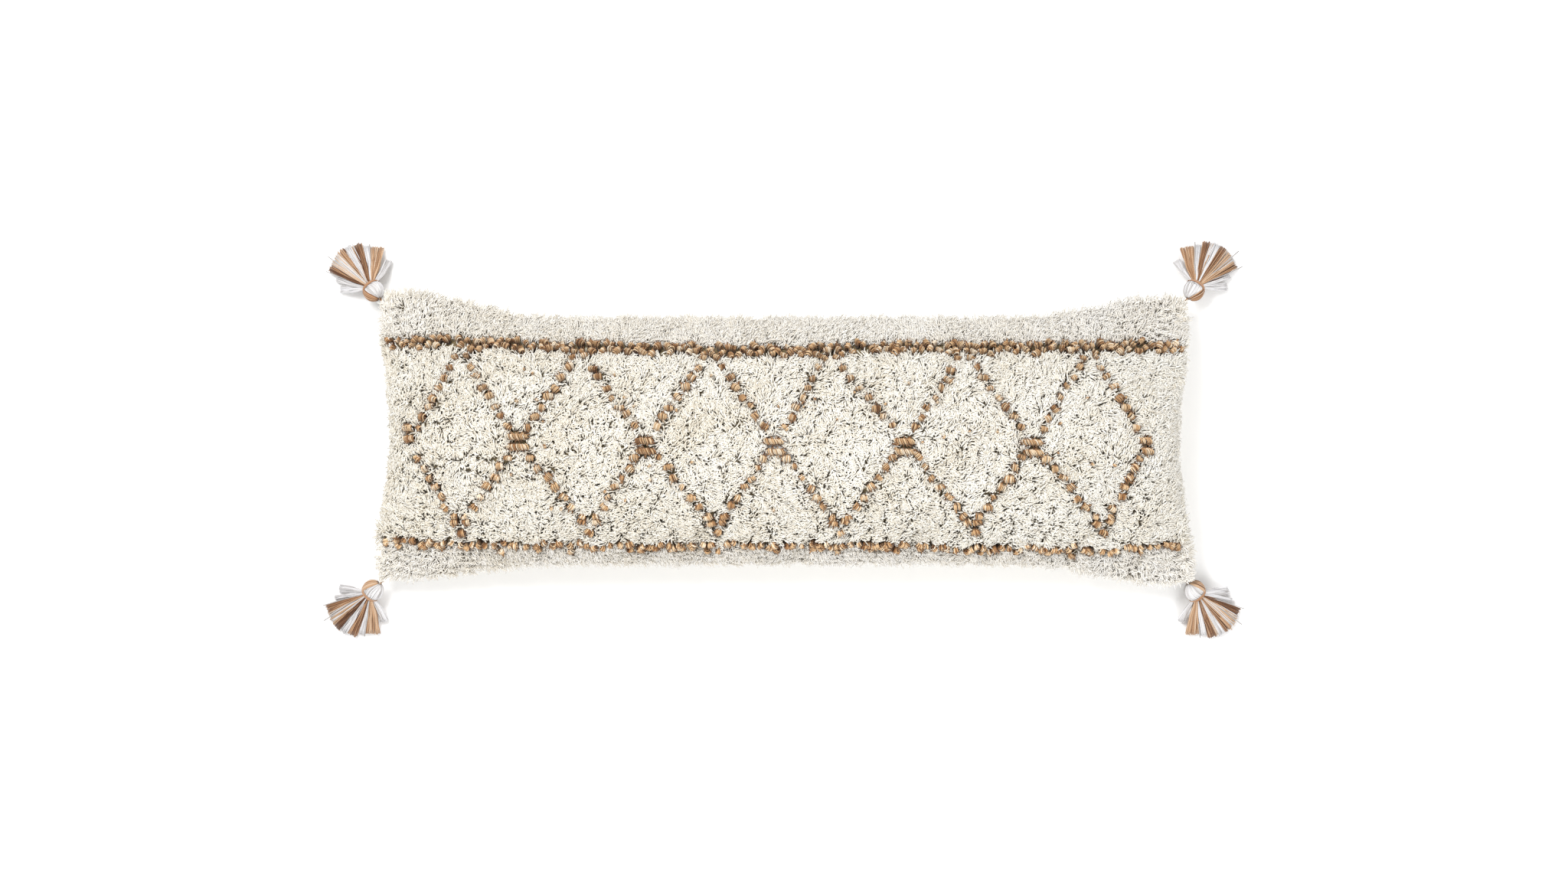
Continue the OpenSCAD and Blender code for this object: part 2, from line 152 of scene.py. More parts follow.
def strand_mesh(name, paths, radii, variants, sides, **kw):
    """Closed strands along paths (n, k, 3) with radii (n, k), each in its own shade."""
    n, k = radii.shape
    along = unit(np.gradient(paths, axis=1))
    side = unit(np.cross(along[:, 0], np.array([0.31, 0.52, 0.79])))[:, None, :]
    side = unit(side - (side * along).sum(-1, keepdims=True) * along)
    up = np.cross(along, side)
    angle = np.arange(sides) * 2 * np.pi / sides
    cos, sin = np.cos(angle), np.sin(angle)
    ring = cos[:, None] * side[:, :, None] + sin[:, None] * up[:, :, None]
    verts = paths[:, :, None] + radii[:, :, None, None] * ring
    ids = np.arange(n * k * sides).reshape(n, k, sides)
    nxt = np.roll(ids, -1, 2)
    quads = np.stack([ids[:, :-1], nxt[:, :-1], nxt[:, 1:], ids[:, 1:]], -1).reshape(-1, 4)
    around = (variants[:, None, None] + 0.08 + 0.84 * np.arange(sides + 1) / sides) / VARIANTS
    rise = (0.03 + 0.94 * np.arange(k) / (k - 1))[None, :, None]
    grid = np.stack(np.broadcast_arrays(around, rise), -1)
    quad_uv = np.stack([grid[:, :-1, :-1], grid[:, :-1, 1:], grid[:, 1:, 1:], grid[:, 1:, :-1]], -2)
    spin = np.stack([0.5 + 0.4 * cos, 0.5 + 0.4 * sin], -1)
    at = variants[:, None] / VARIANTS
    low = np.stack([at + spin[None, ::-1, 0] / VARIANTS, 0.015 + 0.01 * spin[None, ::-1, 1] + 0 * at], -1)
    high = np.stack([at + spin[None, :, 0] / VARIANTS, 0.975 + 0.02 * spin[None, :, 1] + 0 * at], -1)
    return mesh_object(name, verts, [quads, ids[:, 0, ::-1], ids[:, -1]], [quad_uv, low, high], **kw)


# ---- materials
class Nodes:
    """A short way to build a material's nodes."""

    def __init__(self, name):
        self.mat = bpy.data.materials.new(name)
        self.mat.use_nodes = True
        self.tree = self.mat.node_tree
        self.shader = next(n for n in self.tree.nodes if n.type == "BSDF_PRINCIPLED")

    def add(self, kind, **inputs):
        node = self.tree.nodes.new("ShaderNode" + kind)
        for key, value in inputs.items():
            if hasattr(node, key) and key not in node.inputs:
                setattr(node, key, value)
            elif isinstance(value, bpy.types.NodeSocket):
                self.tree.links.new(value, node.inputs[key])
            else:
                node.inputs[key].default_value = value
        return node

    def math(self, operation, a, b=None, c=None, clamp=False):
        node = self.tree.nodes.new("ShaderNodeMath")
        node.operation, node.use_clamp = operation, clamp
        for i, value in enumerate((a, b, c)):
            if isinstance(value, bpy.types.NodeSocket):
                self.tree.links.new(value, node.inputs[i])
            elif value is not None:
                node.inputs[i].default_value = value
        return node.outputs[0]

    def mix(self, factor, a, b, blend="MIX"):
        node = self.tree.nodes.new("ShaderNodeMix")
        node.data_type, node.blend_type = "RGBA", blend
        for socket, value in ((node.inputs[0], factor), (node.inputs[6], a), (node.inputs[7], b)):
            if isinstance(value, bpy.types.NodeSocket):
                self.tree.links.new(value, socket)
            elif isinstance(value, (tuple, list)):
                socket.default_value = (*value, 1)
            else:
                socket.default_value = value
        return node.outputs[2]

    def ramp(self, factor, stops):
        node = self.tree.nodes.new("ShaderNodeValToRGB")
        self.tree.links.new(factor, node.inputs[0])
        ramp = node.color_ramp
        while len(ramp.elements) < len(stops):
            ramp.elements.new(0.5)
        for element, (at, colour) in zip(ramp.elements, stops):
            element.position, element.color = at, (*colour, 1)
        return node.outputs[0]

    def noise(self, scale, detail, place, **kw):
        return self.add("TexNoise", Scale=scale, Detail=detail, Vector=place, **kw).outputs[0]

    def link(self, output, socket):
        self.tree.links.new(output, self.shader.inputs[socket])

    def plain(self, **values):
        for key, value in values.items():
            self.shader.inputs[key.replace("_", " ")].default_value = value

    def bump(self, height, strength, distance):
        node = self.add("Bump", Strength=strength, Distance=distance, Height=height)
        self.link(node.outputs[0], "Normal")


def srgb(r, g, b):
    """An sRGB colour of 0 to 255 as linear values."""
    return tuple(((c / 255 + 0.055) / 1.055) ** 2.4 if c > 10 else c / 255 / 12.92 for c in (r, g, b))


def scaled(colour, factor):
    return tuple(min(1.0, c * factor) for c in colour)


def yarn_material(name, shades, painted_root_shade, root_share, twist, twist_depth, arched=False):
    """Yarn in shades from dark to light. Each strand darkens towards its root or roots: painted shade for the
    shadow low in the pile and between strands.
    """
    m = Nodes(name)
    uv = m.add("UVMap", uv_map="OFBake")
    xyz = m.add("SeparateXYZ", Vector=uv.outputs[0])
    column = m.math("MULTIPLY", xyz.outputs[0], VARIANTS)
    variant = m.math("FLOOR", column)
    around = m.math("FRACT", column)
    along = xyz.outputs[1]
    stops = [(i / (len(shades) - 1), srgb(*c)) for i, c in enumerate(shades)]
    colour = m.ramp(m.math("DIVIDE", variant, VARIANTS - 1.0), stops)
    # The ply twist as painted shade: stripes that darken in the grooves between the plies, times a little
    # random fuzz in tone.
    turn = m.math("MULTIPLY_ADD", along, twist, around)
    ply = m.math("SINE", m.math("MULTIPLY", turn, 4 * math.pi))
    ply_shade_and_fuzz = m.math("MULTIPLY_ADD", ply, twist_depth / 2, 1 - twist_depth / 2)
    fuzz = m.noise(90.0, 2.0, uv.outputs[0], noise_dimensions="2D")
    ply_shade_and_fuzz = m.math("MULTIPLY", ply_shade_and_fuzz, m.math("MULTIPLY_ADD", fuzz, 0.16, 0.92))
    dark = m.mix(1.0, colour, m.add("CombineXYZ", X=ply_shade_and_fuzz, Y=ply_shade_and_fuzz, Z=ply_shade_and_fuzz).outputs[0], "MULTIPLY")
    rise = along
    # Painted shade on the arches: darker towards both feet, over a longer stretch on the first foot's side, as
    # if lit from the other side.
    if arched:  # lightest a little past the top of the arch
        rise = m.math("MINIMUM", m.math("DIVIDE", along, 0.70),
                      m.math("DIVIDE", m.math("SUBTRACT", 1.0, along), 0.30))
    # Painted shade: the strand takes its root colour towards its root or roots.
    depth = m.math("SMOOTH_MIN", m.math("DIVIDE", rise, root_share), 1.0, 0.3, clamp=True)
    m.link(m.mix(depth, srgb(*painted_root_shade), dark), "Base Color")
    m.plain(Roughness=0.86, Sheen_Weight=0.25, Sheen_Roughness=0.45, Specular_IOR_Level=0.2)
    return m.mat


def weave_material(name, colour, thread=0.0011, contrast=0.18):
    """Plain woven cloth: threads over and under along X and Y of the piece."""
    m = Nodes(name)
    place = m.add("TexCoord").outputs["Object"]
    xyz = m.add("SeparateXYZ", Vector=place)
    k = math.pi / thread
    wobble = m.noise(60.0, 2.0, place)
    drift = m.math("MULTIPLY", m.math("SUBTRACT", wobble, 0.5), 1.6)
    warp = m.math("SINE", m.math("MULTIPLY_ADD", xyz.outputs[0], k, drift))
    weft = m.math("SINE", m.math("MULTIPLY_ADD", xyz.outputs[1], k, drift))
    height = m.math("MULTIPLY_ADD", m.math("MULTIPLY", warp, weft), 0.5, 0.5)
    slub = m.noise(380.0, 3.0, place)
    patch = m.noise(7.0, 3.0, place)
    drawn = m.add("Mapping", Vector=place, Scale=(42.0, 640.0, 640.0))
    thick = m.math("MULTIPLY_ADD", m.noise(1.0, 2.0, drawn.outputs[0]), 3.2, -1.35, clamp=True)
    # Painted shade: the cloth is darker where its threads dip under each other.
    base = m.mix(height, scaled(colour, 1 - contrast), colour)
    base = m.mix(m.math("MULTIPLY", slub, 0.35), base, scaled(colour, 0.8))
    base = m.mix(m.math("MULTIPLY", thick, 0.6), base, scaled(colour, 0.8))
    base = m.mix(m.math("MULTIPLY", patch, 0.25), base, scaled(colour, 1.08))
    m.link(base, "Base Color")
    m.link(m.math("MULTIPLY_ADD", slub, 0.15, 0.78), "Roughness")
    m.bump(m.math("ADD", height, m.math("MULTIPLY_ADD", slub, 0.5, thick)), 0.35, 0.0004)
    m.plain(Sheen_Weight=0.15, Specular_IOR_Level=0.25)
    return m.mat


def metal_material(name, colour):
    m = Nodes(name)
    place = m.add("TexCoord").outputs["Object"]
    brushed = m.add("Mapping", Vector=place, Scale=(300, 4000, 4000))
    scratch = m.noise(1.0, 4.0, brushed.outputs[0])
    wear = m.noise(350.0, 3.0, place)
    m.link(m.mix(m.math("MULTIPLY", wear, 0.6), colour, scaled(colour, 0.72)), "Base Color")
    m.link(m.math("MULTIPLY_ADD", scratch, 0.3, 0.2), "Roughness")
    m.bump(scratch, 0.15, 0.0001)
    m.plain(Metallic=1.0)
    return m.mat


def nylon_material(name, colour):
    m = Nodes(name)
    place = m.add("TexCoord").outputs["Object"]
    grain = m.noise(900.0, 3.0, place)
    m.link(m.mix(m.math("MULTIPLY", grain, 0.4), colour, scaled(colour, 0.82)), "Base Color")
    m.link(m.math("MULTIPLY_ADD", grain, 0.2, 0.32), "Roughness")
    m.bump(grain, 0.1, 0.0001)
    return m.mat


# The third colour of each yarn is the painted shade it darkens to at its roots.
cream_yarn = yarn_material(
    "cream_yarn", [(222, 213, 195), (238, 232, 219), (246, 242, 233), (250, 248, 242)],
    (108, 94, 68), 0.44, 3.0, 0.05)
band_yarn = yarn_material(
    "band_yarn", [(232, 224, 209), (243, 238, 228), (249, 245, 238), (252, 250, 246)],
    (158, 144, 116), 0.36, 3.0, 0.05)
tan_pile_yarn = yarn_material(
    "tan_pile_yarn", [(92, 56, 28), (168, 121, 77), (212, 171, 125), (239, 206, 162), (255, 238, 212)],
    (44, 20, 6), 0.9, 2.0, 0.2, arched=True)
tassel_white = yarn_material(
    "tassel_white_yarn", [(176, 171, 168), (206, 203, 202), (220, 218, 218), (229, 228, 230)],
    (160, 150, 142), 0.12, 9.0, 0.08)
tassel_tan = yarn_material(
    "tassel_tan_yarn", [(92, 57, 33), (148, 106, 74), (184, 144, 109), (203, 169, 136), (215, 190, 164)],
    (90, 54, 30), 0.12, 9.0, 0.14)
tassel_thread = yarn_material(
    "tassel_binding_thread", [(168, 120, 84), (190, 146, 112), (204, 166, 136)],
    (150, 96, 62), 0.05, 60.0, 0.3)
seam_yarn = yarn_material("seam_thread", [(226, 220, 205), (238, 234, 222)], (190, 182, 164), 0.1, 8.0, 0.12)
# The cloth under the pile is coloured dark olive brown as painted shade, for the gaps deep between the strands
# and tufts.
shaded_base_weave = weave_material("base_cloth", srgb(140, 124, 92), thread=0.0016, contrast=0.3)
back_weave = weave_material("back_cloth", srgb(232, 226, 211))
insert_weave = weave_material("insert_cloth", srgb(242, 242, 240), thread=0.0007)
tape_weave = weave_material("zip_tape", srgb(230, 223, 206), thread=0.0006)
zip_metal = metal_material("zip_metal", srgb(196, 193, 186))
zip_nylon = nylon_material("zip_teeth", srgb(224, 218, 200))


# ---- the cover's two cloths
NU, NV = 132, 56
grid_u = np.sin(np.linspace(-1, 1, NU + 1) * np.pi / 2)
grid_v = np.sin(np.linspace(-1, 1, NV + 1) * np.pi / 2)
UU, VV = np.meshgrid(grid_u, grid_v, indexing="ij")


def puckers(points, face):
    """Gathers that run in from the seam, creases from the corners, and slight unevenness of the filling."""
    x, y = points[..., 0], points[..., 1]
    edge = np.maximum(np.abs(UU) ** 26, np.abs(VV) ** 9)
    inward = np.exp(-(1 - edge) * 2.2) * (1 - edge ** 30)
    along = np.where(np.abs(VV) ** 9 > np.abs(UU) ** 26, x, y)
    wave = smooth_noise(along, along * 0 + face, 51 + face, 0.022) * 0.0011
    lumps = smooth_noise(x, y, 77 + face, 0.11) * 0.0016 * (1 - edge)
    reach_x, reach_y = CORNER_X - np.abs(x), CORNER_Y - np.abs(y)
    reach = np.hypot(reach_x, reach_y)
    turn = np.arctan2(reach_y, np.maximum(reach_x, 1e-6)) * 8 + np.sign(x) * 1.3 + np.sign(y) * 0.7 + face
    creases = 0.0022 * (1 + np.sin(turn)) * (reach / 0.05) * np.exp(-reach / 0.055) * (1 - edge ** 30)
    creases *= np.clip(1.7 - reach / 0.1, 0, 1)  # none near the zip
    return wave * inward + lumps + creases


def grid_normals(p):
    return unit(np.cross(np.gradient(p, axis=0), np.gradient(p, axis=1)))


def grid_quads(nu, nv, offset=0, flip=False):
    ids = offset + np.arange((nu + 1) * (nv + 1)).reshape(nu + 1, nv + 1)
    q = np.stack([ids[:-1, :-1], ids[1:, :-1], ids[1:, 1:], ids[:-1, 1:]], -1).reshape(-1, 4)
    return q[:, ::-1] if flip else q


def rim_loop(nu, nv):
    """Indices of a grid's edge in order round it."""
    row, i, j = nv + 1, np.arange(nu), np.arange(nv)
    return np.concatenate([i * row, nu * row + j, nu * row + nv - i * row, nv - j])


def inflated(front, back, limit):
    """Both cloths as one closed cover, puffed up by air pressure as a cloth and then fixed."""
    row = (NU + 1) * (NV + 1)
    edge = np.zeros((NU + 1, NV + 1), bool)
    edge[[0, -1]] = edge[:, [0, -1]] = True
    rim, index = edge.ravel(), np.arange(row)
    back_index = np.where(rim, index, index + row)
    verts = np.concatenate([front.reshape(-1, 3), back.reshape(-1, 3)])
    verts[:row][rim] -= UP * SEAM_GAP / 2
    quads = grid_quads(NU, NV)
    faces = np.concatenate([quads, back_index[quads][:, ::-1]])
    used = np.unique(faces)
    remap = np.full(2 * row, -1)
    remap[used] = np.arange(len(used))
    ob = mesh_object("cover_sim", verts[used], remap[faces], body=None)
    pins = ob.vertex_groups.new(name="pins")
    pins.add([int(i) for i in remap[index[rim]]], 1.0, "REPLACE")
    cloth = ob.modifiers.new("cloth", "CLOTH")
    for key, value in dict(quality=6, mass=0.3, tension_stiffness=12, compression_stiffness=12,
                           shear_stiffness=4, bending_stiffness=0.4, use_pressure=True,
                           uniform_pressure_force=4, shrink_min=-0.012, vertex_group_mass="pins").items():
        setattr(cloth.settings, key, value)
    cloth.settings.effector_weights.gravity = 0
    cloth.collision_settings.use_collision = False
    cloth.collision_settings.use_self_collision = False
    scene = bpy.context.scene
    scene.frame_start, scene.frame_end = 1, 20
    for f in range(1, 21):
        scene.frame_set(f)
    depsgraph = bpy.context.evaluated_depsgraph_get()
    done = np.empty(len(used) * 3, np.float32)
    ob.evaluated_get(depsgraph).data.vertices.foreach_get("co", done)
    done = done.reshape(-1, 3).astype(float)
    moved = done - verts[used]
    moved *= np.minimum(1, limit / np.maximum(np.linalg.norm(moved, axis=1, keepdims=True), 1e-9))
    out = verts.copy()
    out[used] = verts[used] + moved
    scene.frame_set(1)
    bpy.data.objects.remove(ob)
    new_front, new_back = out[:row], out[row:]
    new_front[rim] += UP * SEAM_GAP / 2
    shape = (NU + 1, NV + 1, 3)
    new_front, new_back = new_front.reshape(shape), new_back.reshape(shape)
    new_back[edge] = back[edge]
    return new_front, new_back


front = layer(UU, VV, 1)
back = layer(UU, VV, -1)
front, back = inflated(front, back, 0.004)
front = front + grid_normals(front) * puckers(front, 1)[..., None]
back = back - grid_normals(back) * puckers(back, -1)[..., None]
back[..., 2] = np.maximum(back[..., 2], 0.0)
front_normal = grid_normals(front)


def pair_quads(nu, nv, flip=False):
    """Quads of two grids that face apart, and of the walls between their rims."""
    row, rim = (nu + 1) * (nv + 1), rim_loop(nu, nv)
    nxt = np.roll(rim, -1)
    walls = np.stack([rim, rim + row, nxt + row, nxt], -1)
    return (grid_quads(nu, nv, flip=flip), grid_quads(nu, nv, row, flip=not flip),
            walls[:, ::-1] if flip else walls)


def closed_pair(name, top, bottom, flip=False, **kw):
    """Two grids of points joined round their rims, with a layout for baking."""
    upper, lower, walls = pair_quads(NU, NV, flip)
    st = np.stack([0.02 + 0.96 * (np.arange(NU + 1) / NU)[:, None] + 0 * VV,
                   0.02 + 0.46 * (np.arange(NV + 1) / NV)[None] + 0 * UU], -1).reshape(-1, 2)
    both = np.concatenate([st, st + np.array([0, 0.5])])
    wall_uv = np.concatenate([st, st * [1, 0.999]])[walls]
    verts = np.concatenate([top.reshape(-1, 3), bottom.reshape(-1, 3)])
    return mesh_object(name, verts, np.concatenate([upper, lower, walls]),
                       [both[upper], both[lower], wall_uv], **kw)


def cloth_piece(name, outer, face, **kw):
    """A cloth with its thickness."""
    inner = outer - grid_normals(outer) * face * CLOTH
    if face < 0:
        inner[..., 2] = np.maximum(inner[..., 2], outer[..., 2] + CLOTH * 0.4)
    return closed_pair(name, outer, inner, face < 0, **kw)


front_cloth = cloth_piece("front_cloth", front, 1, material=shaded_base_weave, slot="base_cloth",
                          replaces=["front_panel"])
back_cloth = cloth_piece("back_cloth", back, -1, material=back_weave, slot="back_cloth",
                         replaces=["back_panel"])


# ---- where tufts stand on the front
def between(field, a, b):
    """Values of a grid of numbers or points at fractional rows a and columns b."""
    i, j = np.minimum(a.astype(int), field.shape[0] - 2), np.minimum(b.astype(int), field.shape[1] - 2)
    shape = (-1,) + (1,) * (field.ndim - 2)
    fa, fb = (a - i).reshape(shape), (b - j).reshape(shape)
    return ((field[i, j] * (1 - fa) + field[i + 1, j] * fa) * (1 - fb)
            + (field[i, j + 1] * (1 - fa) + field[i + 1, j + 1] * fa) * fb)


def sample(field, u, v):
    """Values of a field on the front's grid at places u, v."""
    a, b = ((np.arcsin(np.clip(t, -1, 1)) / (np.pi / 2) + 1) / 2 * size for t, size in ((u, NU), (v, NV)))
    return between(field, a, b)


def surface_frame(u, v):
    """Foot, outward normal, and the directions along and across, at places on the front."""
    p = sample(front, u, v)
    n = unit(sample(front_normal, u, v))
    e = unit(np.array([1.0, 0, 0]) - n * n[:, :1])
    return p, n, e, np.cross(n, e)


# Even spacing: arc length across is tabled for every place along.
fine = np.sin(np.linspace(-1, 1, 161) * np.pi / 2)
FU, FV = np.meshgrid(fine, fine, indexing="ij")
fine_points = layer(FU, FV, 1)
across = np.concatenate(
    [np.zeros((161, 1)), np.cumsum(np.linalg.norm(np.diff(fine_points, axis=1), axis=-1), 1)], 1)
middle = np.concatenate([[0], np.cumsum(np.linalg.norm(np.diff(fine_points[:, 80], axis=0), axis=-1))])
ARC_LENGTH, ARC_WIDTH = middle[-1], across[80, -1]
table_t = np.linspace(-1, 1, 161)
across_v = np.stack([np.interp((table_t + 1) / 2 * across[i, -1], across[i], fine) for i in range(161)])


def spread(s, t):
    """u and v of places at even arc length, s and t from -1 to 1."""
    u = np.interp((s + 1) / 2 * ARC_LENGTH, middle, fine)
    return u, between(across_v, np.interp(u, fine, np.arange(161.0)), (t + 1) / 2 * 160)


def seen(points):
    """Where points appear from the camera's height, on the level of the seam."""
    return points[..., :2] * (VIEW_HEIGHT / (VIEW_HEIGHT + SEAM_MID - points[..., 2:]))


def locate(x, y, height=PILE):
    """u and v of the feet whose tips appear at x, y from above."""
    x, y = np.asarray(x, float), np.asarray(y, float)
    u, v = np.clip(x / (MID_X + PILE), -0.995, 0.995), np.clip(y / (MID_Y + PILE), -0.995, 0.995)
    for _ in range(12):
        p, n, _e, _a = surface_frame(u, v)
        tip = seen(p + n * height)
        u = np.clip(u + 0.8 * (x - tip[:, 0]) / (MID_X + PILE), -0.997, 0.997)
        v = np.clip(v + 0.8 * (y - tip[:, 1]) / (MID_Y + PILE), -0.997, 0.997)
    return u, v


# ---- the pattern, as seen from above
def upper_stripe_y(x):
    return np.interp(
        x, (-0.43, -0.385, -0.3, -0.2, -0.12, -0.04, 0.03, 0.12, 0.2, 0.3, 0.4, 0.43),
        (0.109, 0.1115, 0.1085, 0.1055, 0.1043, 0.101, 0.1025, 0.1064, 0.1064, 0.1058, 0.106, 0.105))


def lower_stripe_y(x):
    return np.interp(
        x, (-0.43, -0.39, -0.3, -0.2, -0.13, -0.06, 0.02, 0.11, 0.18, 0.25, 0.31, 0.37, 0.41, 0.43),
        (-0.113, -0.1165, -0.1178, -0.118, -0.119, -0.1178, -0.1195, -0.1182, -0.1205, -0.1215, -0.1242,
         -0.1236, -0.1195, -0.114))


def drawn_in(s):
    return s * (1 - 0.065 * (np.abs(s) / 0.457) ** 4)


PITCH, RISE, SHIFT = 0.144, 0.093, -0.010
UPPER_DRIFT = [0.001, -0.001, 0.001, -0.011, -0.006, -0.003]
LOWER_DRIFT = [0.001, 0.009, 0.008, 0.0, 0.004, 0.012]
TIPS = {1: ((-0.0070, 0.0945, 0.0094), (0.0066, 0.0950, 0.0094)),
        -1: ((-0.0068, -0.0925, 0.0112), (0.0064, -0.0915, 0.0112), (0.0004, -0.1035, 0.0118))}


def diamond_tufts(i):
    """Tufts [x, y, width, height, lean] of diamond i."""
    centre = (i - 2.5) * PITCH + SHIFT
    out = []
    for sx in (-1, 1):
        for sy in (-1, 1):
            drift = (UPPER_DRIFT if sy > 0 else LOWER_DRIFT)[i]
            for k in range(7):
                f = 0.19 + 0.119 * k
                x = drawn_in(centre + sx * (PITCH / 2 * (1 - f) + (0.005 + 0.002 * sy) * f)) + drift * f
                y = sy * RISE * f - 0.0017
                jx, jy = rng.normal(0, 0.0011, 2)
                grow = rng.uniform(0.68, 1.2)
                out.append([x + jx, y + jy, 0.0116 * grow, 0.0108 * rng.uniform(0.7, 1.25),
                            rng.uniform(-0.9, 0.9)])
    for sy in (-1, 1):
        drift = (UPPER_DRIFT if sy > 0 else LOWER_DRIFT)[i]
        for dx, y, size in TIPS[sy]:
            jx, jy = rng.normal(0, 0.0009, 2)
            out.append([drawn_in(centre) + drift + dx + jx, y + jy, size * rng.uniform(0.9, 1.15),
                        size * 0.95, rng.uniform(-0.7, 0.7)])
    return np.array(out)


LINK_Y = (0.0085, -0.0010, -0.0058, -0.0066, -0.0068, -0.0074, -0.0055)


def link_tufts():
    """Two wide tufts, one above the other, where two diamonds meet."""
    out = []
    for i, y in enumerate(LINK_Y):
        x = drawn_in((i - 3) * PITCH + SHIFT)
        wide = 0.0245 if 0 < i < 6 else 0.0165
        for sy in (1, -1):
            out.append([x - sy * 0.0008, y + sy * 0.0058, wide * rng.uniform(0.95, 1.05), 0.012,
                        rng.uniform(0.35, 0.55)])
    return np.array(out)


def stripe_tufts(centre_y, rows, half, step, tall, loose):
    """Tufts along a stripe, in rows (offset, share that is there) that zigzag and lean to alternate sides."""
    out = []
    for r, (dy, there) in enumerate(rows):
        count = int(2 * half / step)
        for k in range(count + 1):
            x = -half + (k + 0.5 * (r % 2)) * step + rng.normal(0, 0.0016)
            y = centre_y(x) + dy + rng.normal(0, loose)
            wide, high = step * rng.uniform(0.72, 1.25), tall * rng.uniform(0.75, 1.4)
            if rng.uniform() < there:
                out.append([x, y, wide, high, (0.75 if (k + r) % 2 else -0.75) + rng.normal(0, 0.3)])
    return np.array(out)


UPPER_HALF, LOWER_HALF = 0.438, 0.440  # half the stripes' lengths
upper_tufts = stripe_tufts(upper_stripe_y, ((0.003, 1.0), (-0.0034, 0.96)), UPPER_HALF,
                           0.0096, 0.0096, 0.0017)
lower_tufts = stripe_tufts(lower_stripe_y, ((0.0006, 0.95), (-0.003, 0.42)), LOWER_HALF,
                           0.0092, 0.0092, 0.0018)
diamonds = [diamond_tufts(i) for i in range(6)]
links = link_tufts()
strays = np.stack([rng.uniform(-0.4, 0.4, 46), rng.uniform(-0.085, 0.085, 46), rng.uniform(0.003, 0.0055, 46),
                   rng.uniform(0.003, 0.005, 46), rng.uniform(-1.5, 1.5, 46)], -1)

CELL, MASK_X, MASK_Y = 0.0005, 0.5, 0.2  # the mask's step and half sizes
mask = np.zeros((2000, 800), bool)


def cover_mask(tufts, grow=0.94):
    """Marks what the tan tufts cover, as seen from above, so that no cream yarn stands there."""
    for x, y, w, h, _lean in tufts:
        a, b = w / 2 * grow, h / 2 * grow
        i0, i1 = int((x - a + MASK_X) / CELL), int((x + a + MASK_X) / CELL) + 1
        j0, j1 = int((y - b + MASK_Y) / CELL), int((y + b + MASK_Y) / CELL) + 1
        gx = (np.arange(i0, i1) * CELL - MASK_X - x)[:, None] / a
        gy = (np.arange(j0, j1) * CELL - MASK_Y - y)[None] / b
        mask[i0:i1, j0:j1] |= gx * gx + gy * gy < 1


for group in (upper_tufts, lower_tufts, links):
    cover_mask(group)
for group in diamonds:
    cover_mask(group, 0.84)
cover_mask(strays, 0.7)


def masked(points):
    """Whether points are where tan yarn stands, as seen from above."""
    points = seen(points)
    i, j = ((points + (MASK_X, MASK_Y)) / CELL).astype(int).T
    in_stripe = ((np.abs(points[:, 1] - upper_stripe_y(points[:, 0])) < 0.005)
                 & (np.abs(points[:, 0]) < UPPER_HALF))
    return mask[i, j] | in_stripe


# ---- pile
def hex_places(pitch):
    """Even places u, v over the front, in staggered rows with some jitter."""
    ns, nt = int(ARC_LENGTH / pitch), int(ARC_WIDTH / (pitch * 0.87))
    s, t = np.meshgrid((np.arange(ns) + 0.5) / ns * 2 - 1, (np.arange(nt) + 0.5) / nt * 2 - 1, indexing="ij")
    s = s + (np.arange(nt) % 2)[None] * (1 / ns) + rng.uniform(-0.42, 0.42, s.shape) * 2 / ns
    t = t + rng.uniform(-0.42, 0.42, t.shape) * 2 / nt
    keep = (np.abs(s) < 0.9985) & (np.abs(t) < 0.9985)
    return spread(s[keep], t[keep])


def lean_direction(x, y, cluster, seed):
    """The way strands lean in the plane of the cloth: a slow swirl, tuft by tuft, with a fan in each."""
    r = np.random.default_rng(seed)
    slow = smooth_noise(x, y, seed + 1, 0.16) * 1.3 + smooth_noise(x, y, seed + 2, 0.05) * 0.9
    table = r.uniform(-1, 1, (4096, 3))
    ci, cj = np.floor(x / cluster).astype(int), np.floor(y / cluster).astype(int)
    nearest = np.full(len(x), np.inf)
    away, turn = np.zeros((len(x), 2)), np.zeros(len(x))
    for di in (-1, 0, 1):
        for dj in (-1, 0, 1):
            jitter = table[((ci + di) * 73856093 ^ (cj + dj) * 19349663) & 4095]
            dx = x - (ci + di + 0.5 + 0.48 * jitter[:, 0]) * cluster
            dy = y - (cj + dj + 0.5 + 0.48 * jitter[:, 1]) * cluster
            closer = dx * dx + dy * dy < nearest
            nearest = np.where(closer, dx * dx + dy * dy, nearest)
            away = np.where(closer[:, None], np.stack([dx, dy], -1), away)
            turn = np.where(closer, jitter[:, 2], turn)
    angle = 0.9 + slow + turn * 1.5
    out = 0.8 * np.stack([np.cos(angle), np.sin(angle)], -1)
    out += 1.3 * away / cluster
    out += rng.normal(0, 0.42, out.shape)
    return out, away


KNOT = 0.15  # how far the feet of one cluster draw together
ROW_PITCH = 0.0088  # from furrow to furrow in the bands


